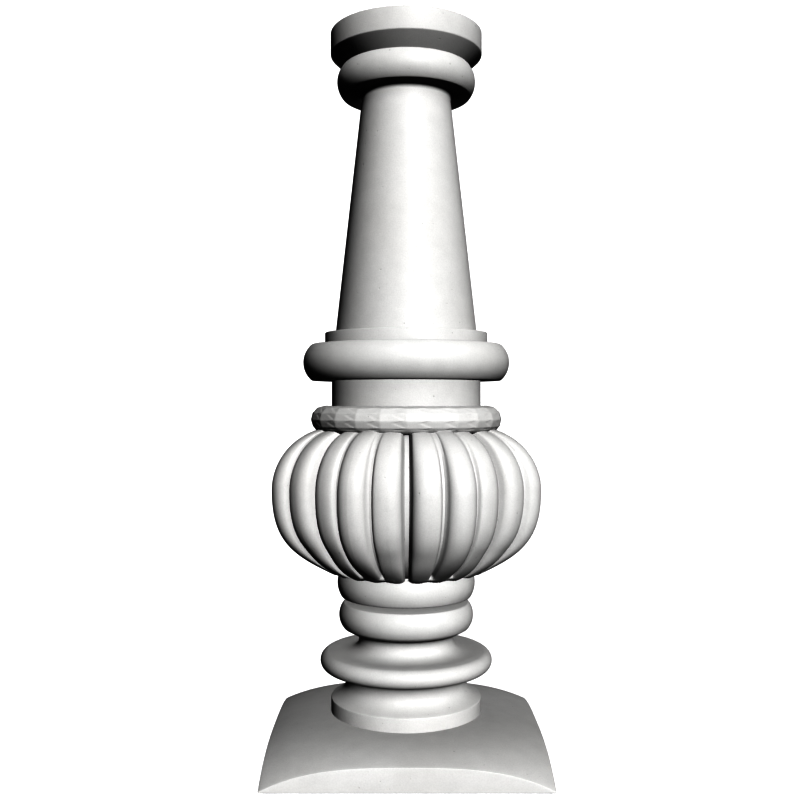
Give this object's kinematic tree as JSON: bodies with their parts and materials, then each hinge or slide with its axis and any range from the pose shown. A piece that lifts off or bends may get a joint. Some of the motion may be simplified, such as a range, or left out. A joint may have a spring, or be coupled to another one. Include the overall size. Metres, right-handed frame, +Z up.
{
  "type": "stone baluster",
  "caption": "Carved stone baluster with a pillowed square plinth, turned mouldings, a lobed bulb and a tapering shaft under a flat cap.",
  "frame": {"origin": "on the ground under the axis, at the middle of the plinth's underside", "axes": "+Z up along the axis of the turned work; X and Y square to the plinth's faces"},
  "size_m": [0.25, 0.25, 0.68],
  "materials": {
    "stone": "fine rubbed pale limestone"
  },
  "bodies": {
    "root": {"baluster": "stone"}
  },
  "joints": []
}
